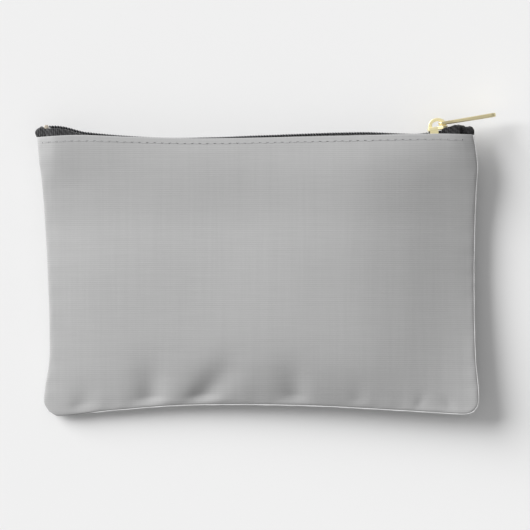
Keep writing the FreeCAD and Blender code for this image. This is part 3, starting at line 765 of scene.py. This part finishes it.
def bag_outline():
    """Plan points down the left side, along the bottom and up the right side."""
    left_y = np.arange(LEFT_EDGE[-1][0] - 2.0, LEFT_EDGE[0][0], -SEAM_STEP)
    bottom_x = np.arange(BOTTOM_EDGE[0][0], BOTTOM_EDGE[-1][0], SEAM_STEP)
    right_y = np.arange(RIGHT_EDGE[0][0], RIGHT_EDGE[-1][0] - 0.4, SEAM_STEP)
    x = np.concatenate([through(LEFT_EDGE, left_y), bottom_x, through(RIGHT_EDGE, right_y)])
    y = np.concatenate([left_y, through(BOTTOM_EDGE, bottom_x), right_y])
    return x, y, (len(left_y), len(left_y) + len(bottom_x))


def outward_of(x, y):
    """Level directions away from the bag, smoothed round its corners."""
    along = np.stack([np.gradient(x), np.gradient(y)], axis=1)
    kernel = np.ones(5) / 5
    padded = np.pad(along, ((2, 2), (0, 0)), mode="edge")
    along = np.stack([np.convolve(padded[:, k], kernel, "valid") for k in (0, 1)], axis=1)
    along /= np.linalg.norm(along, axis=1, keepdims=True)
    return np.stack([along[:, 1], -along[:, 0], 0 * x], axis=1)


def seam_rings():
    """Sections of the seam all the way round, and the places of the two lower corners."""
    x, y, corners = bag_outline()
    outward = outward_of(x, y)
    travelled = SEAM_STEP * np.arange(len(x))
    shown = np.where(np.arange(len(x)) >= corners[1], 1.0, ease((x - LIP_X) / LIP_FADE))
    shown = np.where(np.arange(len(x)) < corners[0], 0.0, shown)
    waver = 0.06 * np.sin(travelled / 2.1 + np.sin(travelled / 5.0))
    lip = mix(LIP_HIDDEN, LIP_SHOWN, shown) + waver
    line = xyz(x, y, seam_z(x, y) - SEAM_DROP)
    extra = (CORNER_LIFT - EDGE_LIFT) * near_corner(y)
    section = np.array(SEAM_SECTION)
    outer = section[:, 0] > -0.5
    rings = []
    for k in range(len(x)):
        reach = section[:, 0] + np.where(outer, lip[k], 0.0)
        ring = line[k] + outward[k] * reach[:, None]
        raised = section[:, 1] * mix(0.4, 1.0, shown[k]) + shown[k] * extra[k]
        ring[:, 2] += np.where(outer, raised, section[:, 1])
        rings.append(ring)
    return rings, corners


def make_seam(name, node, rings):
    """A thin pale strip along one edge: a rounded lip outside, the allowance inside."""
    count = len(SEAM_SECTION)
    faces = grid_faces(len(rings), count, closed=True)
    faces += [tuple(range(count))[::-1],
              tuple((len(rings) - 1) * count + k for k in range(count))]
    obj = add_mesh(name, rings, faces, SEAM_CLOTH)
    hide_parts(node)
    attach(obj, "bag")


def make_seams():
    """The three seams share their end sections at the corners."""
    rings, (first, second) = seam_rings()
    make_seam("left_seam", "left_side_seam", rings[:first + 1])
    make_seam("lower_seam", "bottom_seam", rings[first:second + 1])
    make_seam("right_seam", "right_side_seam", rings[second:])


# ---- top stitching -------------------------------------------------------------------------------
STITCH_PITCH, STITCH_LENGTH = 3.7, 3.0
STITCH_MARGIN = 3.0          # to the first stitch, from the end of the fold
STITCH_V = 1 - 0.0235        # share of the height
STITCH_WANDER = 0.0006       # of the height, to either side
STITCH_POINTS = 9
THREAD_RADIUS = 0.11
HOLE_SIDES = 8
HOLE_SIZE = (0.36, 0.38)
HOLE_RIM, HOLE_DEPTH = 0.04, 0.05


def stitch_lines(side):
    """Short arches of thread, and the needle holes at their ends."""
    span = TOP_FOLD[-1][0] - TOP_FOLD[0][0]
    t = np.linspace(0, 1, STITCH_POINTS)
    lift = THREAD_RADIUS * (1.3 * np.sin(math.pi * t) ** 0.6 - 0.5)
    lines, holes = [], []
    for i in range(int((span - 2 * STITCH_MARGIN) / STITCH_PITCH)):
        u = (STITCH_MARGIN + i * STITCH_PITCH + STITCH_LENGTH * t) / span
        wander = STITCH_WANDER * math.sin(i * 2.3)
        seat, normal = cloth(side, u, STITCH_V + wander)
        lines.append(seat + normal * lift[:, None])
        holes += [(seat[0], normal[0]), (seat[-1], normal[-1])]
    return lines, holes


def hole_mesh(holes, side, first):
    """Small sunk discs; their points are numbered from first."""
    ring = np.linspace(0, 2 * math.pi, HOLE_SIDES, endpoint=False)
    points, faces = [], []
    for centre, normal in holes:
        start = first + len(points)
        for a in ring:
            rim = np.array((math.cos(a) * HOLE_SIZE[0], math.sin(a) * HOLE_SIZE[1], 0))
            points.append(centre + rim + normal * HOLE_RIM)
        points.append(centre - normal * HOLE_DEPTH)
        for k in range(HOLE_SIDES):
            tri = (start + k, start + (k + 1) % HOLE_SIDES, start + HOLE_SIDES)
            faces.append(tri if side > 0 else tri[::-1])
    return points, faces


def make_stitches(side):
    """The row of stitches that holds the hem to the tape."""
    lines, holes = stitch_lines(side)
    points, faces = tube_mesh(lines, THREAD_RADIUS, sides=6)
    thread_faces = len(faces)
    more_points, more_faces = hole_mesh(holes, side, len(points))
    points = np.concatenate([points, np.array(more_points)])
    obj = add_mesh(f"{SIDES[side]}_stitches", points, faces + more_faces, GREY_THREAD)
    obj.data.materials.append(HOLE_SHADE)
    for polygon in obj.data.polygons[thread_faces:]:
        polygon.material_index = 1
    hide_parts(f"{SIDES[side]}_topstitch")
    belongs(obj, side)


# ---- metal parts -------------------------------------------------------------------------------
STOP_CENTRE = (94.6, 70.3, 14.15)
STOP_HALF_LENGTH = 1.1
STOP_SLOPE = 0.009


def make_front_stop():
    """Crimped stop on the front tape."""
    x = np.linspace(-STOP_HALF_LENGTH, STOP_HALF_LENGTH, 12)
    radius = np.sqrt(np.maximum(1 - (x / 1.12) ** 4, 0.02))
    line = xyz(x, STOP_SLOPE * x, 0 * x) + np.array(STOP_CENTRE)
    points, faces = tube_mesh([line], radius, sides=14)
    obj = add_mesh("front_stop", points, faces, STOP_METAL)
    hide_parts("front_top_stop")
    opens_with_mouth(obj)


def refinish(node, material):
    """The other metal parts keep their CAD shape."""
    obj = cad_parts[node]
    for index in range(len(obj.material_slots)):
        obj.material_slots[index].material = material


# ---- studio ------------------------------------------------------------------------------------
FLOOR_HALF = 1500.0


def make_floor():
    """Plain pale table under the bag."""
    corners = [(x * FLOOR_HALF, y * FLOOR_HALF, 0) for x, y in ((-1, -1), (1, -1), (1, 1), (-1, 1))]
    floor = add_mesh("floor", corners, [(0, 1, 2, 3)], tabletop("pale table"), smooth=False)


def make_sun(name, azimuth, height, strength, width):
    """A distant soft light from the left, turned towards +Y by the azimuth; angles in degrees."""
    data = bpy.data.lights.new(name, "SUN")
    data.energy = strength
    data.angle = math.radians(width)
    light = bpy.data.objects.new(name, data)
    light.rotation_euler = (0, math.radians(height - 90), math.radians(-azimuth))
    bpy.context.scene.collection.objects.link(light)


def make_world(low, high):
    """Soft studio surroundings, brighter overhead than at the horizon."""
    world = bpy.data.worlds.new("studio")
    bpy.context.scene.world = world
    world.use_nodes = True
    nodes, links = world.node_tree.nodes, world.node_tree.links
    background = nodes["Background"]
    place = nodes.new("ShaderNodeTexCoord")
    split = nodes.new("ShaderNodeSeparateXYZ")
    ramp = nodes.new("ShaderNodeValToRGB")
    links.new(place.outputs["Generated"], split.inputs[0])
    links.new(split.outputs["Z"], ramp.inputs["Fac"])
    links.new(ramp.outputs["Color"], background.inputs["Color"])
    ramp.color_ramp.elements[0].color = (low, low, low, 1)
    ramp.color_ramp.elements[1].color = (high, high, high, 1)
    background.inputs["Strength"].default_value = 1.0


CAMERA_HEIGHT = 1500.0       # above the bag
VIEW_WIDTH = 262.4           # across the picture, at the bag
VIEW_CENTRE = (2.5, 3.5)
SENSOR = 36.0


def make_camera():
    """Looks straight down on the bag."""
    data = bpy.data.cameras.new("camera")
    data.sensor_width = SENSOR
    data.lens = SENSOR * CAMERA_HEIGHT / VIEW_WIDTH
    data.clip_end = 20.0
    camera = bpy.data.objects.new("camera", data)
    height = CAMERA_HEIGHT + ZIP_HEIGHT
    camera.location = (VIEW_CENTRE[0] * MM, VIEW_CENTRE[1] * MM, height * MM)
    bpy.context.scene.collection.objects.link(camera)
    bpy.context.scene.camera = camera


for side in (1, -1):
    make_panel(side)
    make_lining(side)
    make_tape(side)
    make_coil(side)
    make_cord(side)
    make_stitches(side)
make_zip_end("left_tape_end", LEFT_END, "left_zip_end", TAPE_CLOTH)
make_zip_end("right_tape_end", RIGHT_END, "right_zip_end", SHADED_TAPE_END_CLOTH)
make_seams()
make_front_stop()
for node, metal in (("slider_body", SLIDER_METAL), ("pull_tab", PULL_METAL),
                    ("bottom_stop", STOP_METAL), ("back_top_stop", STOP_METAL)):
    refinish(node, metal)

make_floor()
make_camera()
make_world(low=0.31, high=0.47)
make_sun("key", azimuth=31.0, height=26.0, strength=4.82, width=43.0)
bpy.context.scene.view_settings.view_transform = "Standard"
